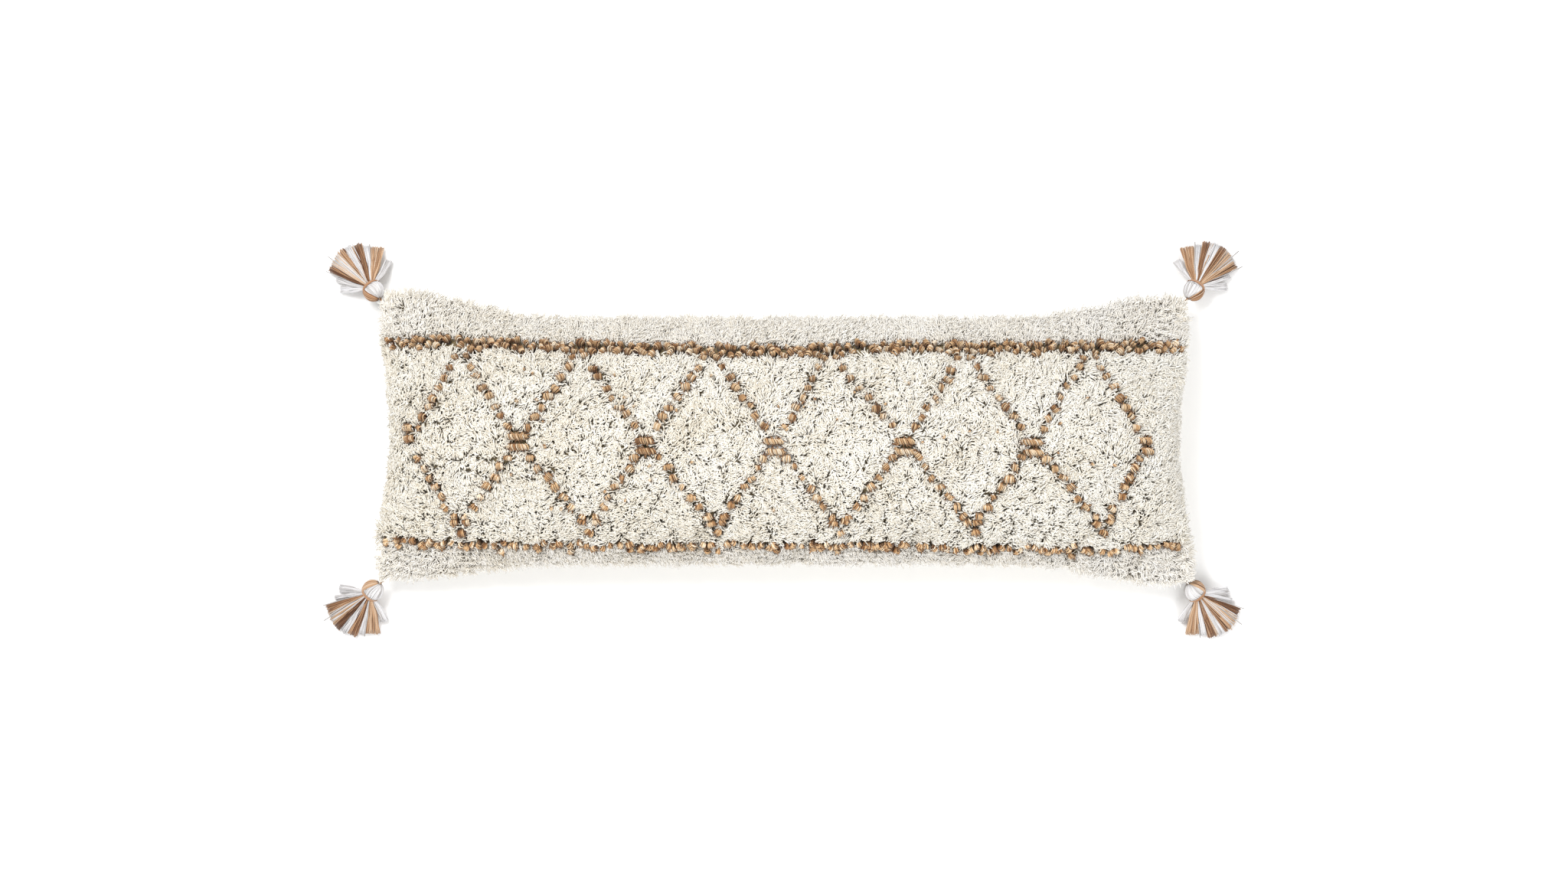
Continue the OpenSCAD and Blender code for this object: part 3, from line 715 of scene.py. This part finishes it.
def pile_strands(u, v, radius, height, lean, cluster, seed, rows=0.0):
    """Paths and radii of cut strands that lean over at their tips. They gather into rows if rows is over 0."""
    p, n, e, a = surface_frame(u, v)
    top = p + n * PILE * 0.6
    d, away = lean_direction(top[:, 0], top[:, 1], cluster, seed)
    p = p - KNOT * (away[:, :1] * e + away[:, 1:] * a)
    lean_to = unit(d[:, :1] * e + d[:, 1:] * a)
    edge = np.maximum(np.abs(u) ** 30, np.abs(v) ** 10)[:, None]
    out = unit(np.stack([u * np.abs(u) ** 29, v * np.abs(v) ** 9, 0 * u], -1))
    out = out - n * (out * n).sum(-1, keepdims=True)
    down = 0.8 * (np.abs(top[:, 1]) - 0.8 * (top[:, 2] - SEAM_MID))
    phase = 2 * np.pi * (down / ROW_PITCH + 0.45 * smooth_noise(top[:, 0], top[:, 1], seed + 7, 0.05))
    gather = -rows * np.sin(phase) * np.sign(v)
    lean_to = unit(lean_to + 1.2 * edge * out + gather[:, None] * a)
    count = len(u)
    tall = height * rng.uniform(0.80, 1.14, count) * (1 + 0.22 * edge[:, 0])
    tall = tall * (1 + 0.12 * rows * (np.cos(phase) - 0.6))
    over = lean * rng.uniform(0.45, 1.35, count) * (1 + 0.35 * edge[:, 0])
    w = np.linspace(0, 1, 4)[None, :, None]
    bend = rng.normal(0, 0.0005, (count, 1, 3)) * np.sin(np.pi * w)
    paths = (p[:, None] + n[:, None] * tall[:, None, None] * (w ** 0.85) * (1 - 0.10 * w)
             + lean_to[:, None] * over[:, None, None] * w ** 1.7 + bend)
    shape = np.array([0.9, 1.0, 1.0, 0.72])
    radii = radius * rng.uniform(0.82, 1.2, (count, 1)) * shape[None]
    return paths, radii


def shade_numbers(tone):
    """The number of the shade for tones from 0 to 1."""
    return np.clip((tone * VARIANTS).astype(int), 0, VARIANTS - 1)


def pile_pieces(prefix, paths, radii, material, node, limit=9000):
    """The strands in slowly drifting shades, cut along X into pieces of a size that stays easy to handle."""
    x, y = paths[:, -1, 0], paths[:, -1, 1]
    variants = shade_numbers(0.52 + 0.12 * smooth_noise(x, y, 5, 0.09) + 0.12 * x / 0.45
                             + rng.normal(0, 0.24, len(x)))
    order = np.argsort(x, kind="stable")
    parts = math.ceil(len(order) / limit)
    for number, part in enumerate(np.array_split(order, parts)):
        strand_mesh(f"{prefix}_{number + 1}", paths[part], radii[part], variants[part], sides=3,
                    material=material, slot="cream_pile", replaces=[node])


DROOP = math.radians(20)
HEAD_REACH, HEAD_RADIUS, HEAD_STRETCH, SKIRT_REACH = 0.015, 0.0115, 1.12, 0.060
TASSELS = {"tl": (-1, 1, 130), "tr": (1, 1, 54), "bl": (-1, -1, 225), "br": (1, -1, -48)}
# Bundles across the fan: the kind of yarn, the angles it lies between, the reach.
FAN = [("white", -68, -56, 0.62), ("tan", -50, -33, 0.82), ("white", -31, -24, 0.86),
       ("dark", -23, -14, 0.94), ("mix", -14, -10, 0.95), ("white", -11, -3, 0.98),
       ("dark", -3, 4, 1.0), ("mix", 4, 12, 0.99), ("pale", 12, 19, 0.97),
       ("dark", 19, 27, 0.95), ("white", 29, 36, 0.76), ("white", 41, 53, 0.66)]
STRAYS = [(-32, 0.90), (14, 1.12), (28, 1.02)]


class Corner:
    """Places at one corner's tassel: x out from the tie, y across and z up, in the row frame."""

    def __init__(self, key):
        sx, sy, degrees = TASSELS[key]
        lo, hi = (np.array(p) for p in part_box(f"tassel_{key}_tie"))
        self.tie = np.array([(lo[0] + hi[0]) / 2, (lo[1] + hi[1]) / 2, hi[2] - 0.0017])
        a = math.radians(degrees)
        self.out = np.array([math.cos(a), math.sin(a), 0])
        self.across = np.array([-math.sin(a), math.cos(a), 0])
        self.axis = self.out * math.cos(DROOP) - UP * math.sin(DROOP)
        self.up = self.out * math.sin(DROOP) + UP * math.cos(DROOP)
        self.head = self.tie + self.axis * HEAD_REACH

    def tilted(self, local):
        """Row frame of points on the drooping axis, from the head's middle."""
        return (self.head + local[..., :1] * self.axis + local[..., 1:2] * self.across
                + local[..., 2:] * self.up)

    def level(self, local):
        """Row frame of points whose first two lengths are level, from the head's middle."""
        return self.head + local[..., :1] * self.out + local[..., 1:2] * self.across + local[..., 2:] * UP


# Middles of the heads' balls, at rest and on the way up as a tassel lifts.
HEADS = [c.tie + HEAD_REACH * (math.cos(a) * c.out + UP * math.sin(a))
         for c in map(Corner, TASSELS) for a in (math.radians(lift) - DROOP for lift in (0, 25, 50))]


def clear_of_heads(points):
    """Which points stay out of the balls of the tassels' heads."""
    return np.all([np.linalg.norm(points - head, axis=1) > HEAD_RADIUS + 0.001 for head in HEADS], axis=0)


def zone(u, v):
    """Where each foot's tip is: 1 above the upper stripe, -1 below the lower one, 0 between."""
    p, n, _e, _a = surface_frame(u, v)
    tip = p + n * PILE
    at = seen(tip)
    return (at[:, 1] > upper_stripe_y(at[:, 0])) * 1 - (at[:, 1] < lower_stripe_y(at[:, 0])), tip


u, v = hex_places(0.00186)
which, tip = zone(u, v)
keep = (which == 0) & ~masked(tip)
u, v = u[keep], v[keep]
paths, radii = pile_strands(u, v, 0.00084, 0.0086, 0.0074, 0.0102, 11)
hidden = masked(paths[:, -1]) & (rng.uniform(size=len(u)) < 0.6)
pile_pieces("cream_pile", paths[~hidden], radii[~hidden], cream_yarn, "cream_field")

u, v = hex_places(0.00168)
which, tip = zone(u, v)
for side, name, node in ((1, "upper_band", "cream_band_upper"), (-1, "lower_band", "cream_band_lower")):
    keep = (which == side) & ~masked(tip)
    uu, vv = u[keep], v[keep]
    paths, radii = pile_strands(uu, vv, 0.00060, 0.0086, 0.0056, 0.0080, 23 + side, rows=1.1)
    free = clear_of_heads(paths[:, -1])
    uu, vv, paths, radii = uu[free], vv[free], paths[free], radii[free]
    pile_pieces(name, paths, radii, band_yarn, node, limit=12000)


def tuft_yarns(tufts, height=0.0112, gauge=0.00192):
    """Each tuft as yarns side by side, arched from foot to foot, over a filling of lower ones. The lower and
    loose yarns take darker shades, painted shade under the top arches.
    """
    all_paths, all_radii, tones = [], [], []
    u, v = locate(tufts[:, 0], tufts[:, 1], height)
    p, n, e, a = surface_frame(u, v)
    turn = np.linspace(0, np.pi, 9)[None, :, None]
    belly = 0.5 + 0.5 * np.sin(turn)
    for k, (x, y, w, h, lean) in enumerate(tufts):
        line = lean if w < 0.015 else 0.0
        side = math.cos(line) * e[k] + math.sin(line) * a[k]
        run = math.cos(lean) * a[k] - math.sin(lean) * e[k]
        shade = rng.uniform(-0.26, 0.12)
        for level, share in ((1.0, 1.0), (0.74, 0.78)):
            count = max(2, int(round(w * share / gauge)))
            # Painted shade: top arches take light shades, the lower filling dark ones.
            tones.append(shade + rng.uniform(*((0.32, 1.06) if level == 1 else (0.0, 0.4)), count))
            q = (np.arange(count) + 0.5) / count * 2 - 1 + rng.normal(0, 0.25 / count, count)
            q = q * (1 - 0.5 * gauge / w)
            rounded = np.sqrt(np.maximum(0.12, 1 - np.abs(q) ** (4 if w < 0.015 else 14)))[:, None, None]
            tall = height * level * (0.70 + 0.30 * rounded) * rng.uniform(0.93, 1.07, (count, 1, 1))
            reach = ((h / 2 - 0.0006) * share * (0.45 + 0.55 * rounded)
                     * rng.uniform(0.84, 1.12, (count, 1, 1)))
            path = (p[k] + side * (q[:, None, None] * (w / 2 - 0.0006) * share * belly)
                    - run * reach * np.cos(turn) * belly + n[k] * tall * np.sin(turn) ** 0.8
                    + rng.normal(0, 0.0002, (count, 1, 3)) * np.sin(turn))
            all_paths.append(path)
            all_radii.append(0.00076 * rng.uniform(0.82, 1.15, (count, 1))
                             * np.array([0.6, 0.9, 1, 1, 1.02, 1, 1, 0.9, 0.6])[None])
        loose = int(w * h * 9.0e4) + 1
        # Painted shade: loose strands low in the tuft take dark shades.
        tones.append(rng.uniform(0.0, 0.45, loose))
        facing = rng.uniform(0, 2 * np.pi, loose)
        out = np.cos(facing)[:, None] * w * e[k] + np.sin(facing)[:, None] * h * a[k]
        out = out * rng.uniform(0.4, 0.62, (loose, 1))
        rise = np.linspace(0, 1, 9)[None, :, None]
        path = (p[k] + out[:, None] * (0.3 + 0.7 * rise ** 1.6)
                + n[k] * height * rng.uniform(0.8, 1.08, (loose, 1, 1)) * np.sin(rise * 1.45))
        all_paths.append(path)
        all_radii.append(0.0006 * rng.uniform(0.8, 1.15, (loose, 1)) * np.linspace(1, 0.7, 9)[None])
    return np.concatenate(all_paths), np.concatenate(all_radii), np.concatenate(tones)


def tuft_piece(name, tufts, node):
    paths, radii, tones = tuft_yarns(tufts)
    strand_mesh(name, paths, radii, shade_numbers(tones), sides=5, material=tan_pile_yarn, slot="tan_pile",
                replaces=[node])


tuft_piece("upper_stripe_tufts", upper_tufts, "stripe_upper")
tuft_piece("lower_stripe_tufts", lower_tufts, "stripe_lower")
for i, group in enumerate(diamonds):
    tuft_piece(f"diamond_{i + 1}_tufts", group, f"diamond_{i + 1}")
tuft_piece("diamond_link_tufts", np.concatenate([links, strays]), "diamond_links")


# ---- seam
def resampled(points, step):
    """Points at even steps round a closed line."""
    points = np.concatenate([points, points[:1]])
    length = np.concatenate([[0], np.cumsum(np.linalg.norm(np.diff(points, axis=0), axis=1))])
    at = np.linspace(0, length[-1], int(length[-1] / step) + 1)
    return np.stack([np.interp(at, length, points[:, i]) for i in range(3)], -1)[:-1]


seam_mid = ((front + back) / 2).reshape(-1, 3)[rim_loop(NU, NV)]
stitch_at = resampled(seam_mid, 0.0045)
ZIP_HALF = (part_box("zip_tape_front")[1][0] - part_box("zip_tape_front")[0][0]) / 2
open_part = (np.abs(stitch_at[:, 0]) < ZIP_HALF + 0.004) & (stitch_at[:, 1] < 0)
stitch_at = stitch_at[~open_part]
tangent = unit(np.roll(stitch_at, -1, 0) - np.roll(stitch_at, 1, 0))
outward = unit(np.cross(tangent, UP))
arc = np.linspace(-1, 1, 5)[None, :, None]
stitches = (stitch_at[:, None] + UP * arc * 0.0019 + tangent[:, None] * arc * 0.0006
            - outward[:, None] * (arc ** 2) * 0.0009 + outward[:, None] * 0.0002)
strand_mesh("seam_stitches", stitches, np.full(stitches.shape[:2], 0.00042),
            rng.integers(0, VARIANTS, len(stitches)), sides=6, material=seam_yarn, slot="seam_thread",
            replaces=["seam_thread"])


# ---- insert
def lens(name, side_in, top_in, lump, seed, **kw):
    """A closed, filled shape a little inside the cover."""
    a, b = layer(UU, VV, 1, side_in, top_in), layer(UU, VV, -1, side_in, top_in)
    soft = (1 - np.abs(UU) ** 6) * (1 - np.abs(VV) ** 4)
    for face, side in enumerate((a, b)):
        dip = lump * (0.5 + 0.5 * smooth_noise(UU * 0.43, VV * 0.14, seed + face, 0.07)) * soft
        side[..., 2] += dip if face else -dip
    return closed_pair(name, a, b, **kw)


insert_cushion = lens("insert_cushion", INSERT_SIDE, INSERT_TOP, 0.0012, 91, material=insert_weave,
                      slot="insert_cloth", replaces=["insert_shell_front", "insert_shell_back"])
insert_fibre = lens("insert_fibre", INSERT_SIDE + 0.002, INSERT_TOP + 0.002, 0.0045, 95,
                    material=insert_weave, slot="filling", replaces=["insert_filling"])


# ---- zip
def tape_piece(name, node):
    """A woven tape: a thin slab with a slight ripple."""
    lo, hi = (np.array(p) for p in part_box(node))
    nx, nz = 160, 6
    X, Z = np.meshgrid(np.linspace(lo[0], hi[0], nx + 1), np.linspace(lo[2], hi[2], nz + 1), indexing="ij")
    ripple = smooth_noise(X, Z * 4, 8, 0.03) * 0.00008
    y0, y1 = lo[1] + 0.0001 + ripple, hi[1] - 0.0001 + ripple
    a, b = np.stack([X, y0, Z], -1), np.stack([X, y1, Z], -1)
    return mesh_object(name, np.concatenate([a.reshape(-1, 3), b.reshape(-1, 3)]),
                       np.concatenate(pair_quads(nx, nz)), material=tape_weave, slot="zip_tape",
                       replaces=[node], smooth=False)


def dress(node, material, bevel):
    """A CAD node that stays, with its material and, if bevel is over 0, rounded edges."""
    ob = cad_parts[node]
    ob.data.materials.clear()
    ob.data.materials.append(material)
    if bevel:
        ob.modifiers.new("weld", "WELD").merge_threshold = 0.00001
        round_off = ob.modifiers.new("round", "BEVEL")
        round_off.width, round_off.segments, round_off.limit_method = bevel, 2, "ANGLE"


for side in ("front", "back"):
    tape_piece(f"tape_{side}", f"zip_tape_{side}")
    dress(f"zip_teeth_{side}", zip_nylon, 0)
for part, bevel in (("stop_closed", 0.0002), ("stop_open", 0.0002), ("slider", 0.00018), ("pull", 0.00018)):
    dress(f"zip_{part}", zip_metal, bevel)


# ---- tassels
def on_ball(c, theta, turn, ball):
    """Points on the head's ball, which is longer towards the tie: theta from its axis, turn round it."""
    x = ball * np.cos(theta) * np.where(theta > np.pi / 2, HEAD_STRETCH, 1.0)
    rad = ball * np.sin(theta)
    return c.tilted(np.stack(np.broadcast_arrays(x, rad * np.cos(turn), rad * np.sin(turn)), -1))


def head_strands(c, r):
    """Yarn laid side by side from the tie over the ball to the binding."""
    count = 62
    phi = np.arange(count) * 2 * np.pi / count + r.normal(0, 0.015, count)
    theta = np.linspace(math.radians(172), math.radians(50), 13)
    ang = phi[:, None] + 0.25 * np.sin(np.linspace(0, np.pi, 13))[None] * r.normal(1, 0.4, (count, 1))
    ball = (HEAD_RADIUS - 0.0006) * r.uniform(0.97, 1.015, (count, 1))
    thick = 0.00072 * np.interp(np.sin(theta), [0, 0.4, 1], [0.35, 0.75, 1.0])
    return on_ball(c, theta, ang, ball), np.tile(thick, (count, 1))


def side_strands(c, side):
    """A bundle of tan yarn that crosses the ball at one side."""
    count = 14
    theta = np.linspace(math.radians(165), math.radians(48), 11)
    spread_by = np.linspace(-0.55, 0.55, count)[:, None]
    ang = side * (1.15 + spread_by + 0.5 * np.cos(theta)[None] * 0.6) + np.pi / 2
    thick = 0.0006 * np.interp(np.sin(theta), [0, 0.4, 1], [0.5, 0.9, 1.0])
    return on_ball(c, theta, ang, HEAD_RADIUS + 0.0003), np.tile(thick, (count, 1))


def core_ball(c):
    """What the head's yarn is laid over: points and quads of a closed egg."""
    nt, nf, core = 14, 24, HEAD_RADIUS - 0.0011
    T, F = np.meshgrid(np.linspace(0, np.pi, nt + 1)[1:-1], np.arange(nf) * 2 * np.pi / nf, indexing="ij")
    pts = on_ball(c, T, F, core * (1 + 0.01 * np.sin(5 * F + 3 * T))).reshape(-1, 3)
    verts = np.concatenate([pts, c.tilted(np.array([[core, 0, 0], [-core * HEAD_STRETCH, 0, 0]]))])
    ids = np.arange(len(pts)).reshape(nt - 1, nf)
    nxt = np.roll(ids, -1, 1)
    quads = np.stack([ids[:-1], ids[1:], nxt[1:], nxt[:-1]], -1).reshape(-1, 4)
    top, bottom = np.full(nf, len(pts)), np.full(nf, len(pts) + 1)
    caps = np.concatenate([np.stack([top, ids[0], nxt[0]], -1), np.stack([bottom, nxt[-1], ids[-1]], -1)])
    return verts, quads, caps


def skirt(c, r, hand):
    """Strands of each bundle, from the head to the cut ends near the floor: paths, radii and shades."""
    found = {"white": [[], [], []], "tan": [[], [], []]}
    bundles = FAN + [("stray", angle, angle, reach) for angle, reach in STRAYS]
    w = np.linspace(0, 1, 9)[None]
    start = HEAD_RADIUS - 0.0035
    floor = -c.head[2] + 0.0016
    for kind, low, high, reach in bundles:
        middle_angle, wedge = math.radians(low + high) / 2, math.radians(high - low)
        count = 1 if kind == "stray" else int(3.8 * (high - low)) + 8
        pos, layer_at = r.uniform(-1, 1, count), r.uniform(-1, 1, count)
        direction = middle_angle + pos * wedge * 0.52
        start_angle = middle_angle * 0.78 + pos * wedge * 0.42
        length = SKIRT_REACH * reach * (1 + r.normal(0, 0.014, count))
        reach_at = start + (length[:, None] - start) * w
        turn = start_angle[:, None] + (direction - start_angle)[:, None] * np.minimum(1, w * 2.2) ** 0.8
        x, y = reach_at * np.cos(turn), hand * reach_at * np.sin(turn)
        thick = 0.0036 * np.interp(w[0], [0, 0.3, 1], [1.6, 1.0, 1.0])[None]
        z = (-0.001 * (1 - w) + (floor + 0.0042) * w ** 1.25
             + layer_at[:, None] * thick * (0.55 + 0.45 * (1 - w)))
        z = np.maximum(z, floor + 0.0002)
        wave = r.normal(0, 0.0006, (count, 1)) * np.sin(w * np.pi * r.uniform(0.8, 1.8, (count, 1)))
        path = c.level(np.stack([x - wave * np.sin(turn), y + hand * wave * np.cos(turn), z], -1))
        radii = (0.00052 * r.uniform(0.8, 1.25, (count, 1))
                 * np.interp(w[0], [0, 0.92, 1], [0.9, 1, 1.08])[None])
        tone = r.uniform(0, 1, count)
        white = tone < {"white": 2, "stray": 2, "mix": 0.35, "pale": 0.5}.get(kind, -1)
        shade = {"dark": tone ** 1.5 * 0.75, "stray": 0 * tone,
                 "white": 0.15 + 0.85 * tone}.get(kind, 0.3 + 0.7 * tone)
        for yarn, mine in (("white", white), ("tan", ~white)):
            found[yarn][0].append(path[mine])
            found[yarn][1].append(radii[mine])
            found[yarn][2].append(shade_numbers(shade[mine]))
    return {yarn: [np.concatenate(part) for part in parts] for yarn, parts in found.items()}


def binding_turns(c):
    """Thread wound round the neck between head and skirt: one long coil per strand."""
    paths = []
    ring = math.sqrt(HEAD_RADIUS ** 2 - 0.0065 ** 2) + 0.0007
    for k in range(6):
        a = np.linspace(0, 2 * np.pi * 0.999, 49)
        x = 0.0050 + 0.0006 * k + 0.0005 * a / (2 * np.pi)
        rr = ring - 0.0009 * (k - 2.5) / 2.5 + 0.0001 * np.sin(7 * a + k)
        paths.append(np.stack([x, rr * np.cos(a), rr * np.sin(a)], -1))
    return c.tilted(np.stack(paths))


def tie_strands(c):
    """A knotted yarn tie: three plies that twist from the corner to the head."""
    w = np.linspace(0, 1, 25)
    paths = []
    for k in range(3):
        a = w * 9 + k * 2 * np.pi / 3
        bulge = 0.0007 + 0.0006 * np.exp(-((w - 0.35) / 0.18) ** 2)
        x = -0.0026 + 0.0062 * w
        paths.append(c.tie + x[:, None] * c.axis + (bulge * np.cos(a))[:, None] * c.across
                     + (bulge * np.sin(a))[:, None] * c.up)
    return np.stack(paths)


def yarn_piece(name, r, path, radii, shades=None, **kw):
    """Strands with one radius or many, in the shades given or in any."""
    radii = np.full(path.shape[:2], radii) if isinstance(radii, float) else radii
    shades = r.integers(0, VARIANTS, len(path)) if shades is None else shades
    strand_mesh(name, path, radii, shades, sides=6, **kw)


for seed, key in enumerate(TASSELS):
    r = np.random.default_rng(400 + seed)
    c, hand, body = Corner(key), -1 if key in ("tr", "bl") else 1, f"tassel_{key}"
    yarn_piece(f"{body}_head_yarn", r, *head_strands(c, r), body=body, material=tassel_white,
               slot="white_yarn", replaces=[f"{body}_head"])
    verts, quads, caps = core_ball(c)
    mesh_object(f"{body}_head_core", verts, [quads, caps], body=body, material=insert_weave,
                slot="white_yarn")
    yarn_piece(f"{body}_head_tan", r, *side_strands(c, -hand), body=body, material=tassel_tan,
               slot="tan_yarn")
    for yarn, strands in skirt(c, r, hand).items():
        yarn_piece(f"{body}_{yarn}_strands", r, *strands, body=body, slot=f"{yarn}_yarn",
                   material=tassel_white if yarn == "white" else tassel_tan, replaces=[f"{body}_{yarn}"])
    yarn_piece(f"{body}_binding_thread", r, binding_turns(c), 0.00036, body=body, material=tassel_thread,
               slot="tassel_thread", replaces=[f"{body}_binding"])
    yarn_piece(f"{body}_tie_yarn", r, tie_strands(c), 0.0006, body=f"tie_{key}", material=tassel_tan,
               slot="tassel_thread", replaces=[f"{body}_tie"])

# ---- stage
camera = placed("camera", bpy.data.cameras.new("camera"))
camera.data.lens, camera.data.sensor_width = LENS, SENSOR
camera.data.clip_end = 50
camera.location = (0, 0, SEAM_MID + VIEW_HEIGHT)
bpy.context.scene.camera = camera


def stage_floor():
    me = bpy.data.meshes.new("floor")
    me.from_pydata([(-8, -8, -0.0004), (8, -8, -0.0004), (8, 8, -0.0004), (-8, 8, -0.0004)], [],
                   [(0, 1, 2, 3)])
    ob = placed("floor", me)
    m = Nodes("floor_white")
    place = m.add("TexCoord").outputs["Object"]
    haze = m.noise(3.0, 2.0, place)
    m.link(m.mix(haze, srgb(250, 250, 250), srgb(252, 252, 252)), "Base Color")
    m.plain(Roughness=0.9, Specular_IOR_Level=0.1)
    me.materials.append(m.mat)


def soft_light(name, place, size, power):
    data = bpy.data.lights.new(name, "AREA")
    data.shape, data.size, data.size_y, data.energy = "RECTANGLE", size[0], size[1], power
    ob = placed(name, data)
    ob.location = place
    ob.rotation_mode = "QUATERNION"
    ob.rotation_quaternion = (Vector((0, 0, 0.05)) - Vector(place)).to_track_quat("-Z", "Y")


stage_floor()
soft_light("key", (-0.9, 1.0, 2.8), (0.9, 0.9), 58)
soft_light("fill", (1.3, -1.9, 2.6), (1.8, 1.4), 40)
world = bpy.data.worlds.new("studio")
world.use_nodes = True
background = world.node_tree.nodes["Background"].inputs
background[0].default_value, background[1].default_value = (1, 1, 1, 1), 0.82
scene = bpy.context.scene
scene.world = world
scene.view_settings.view_transform = "Standard"
scene.view_settings.look = "None"
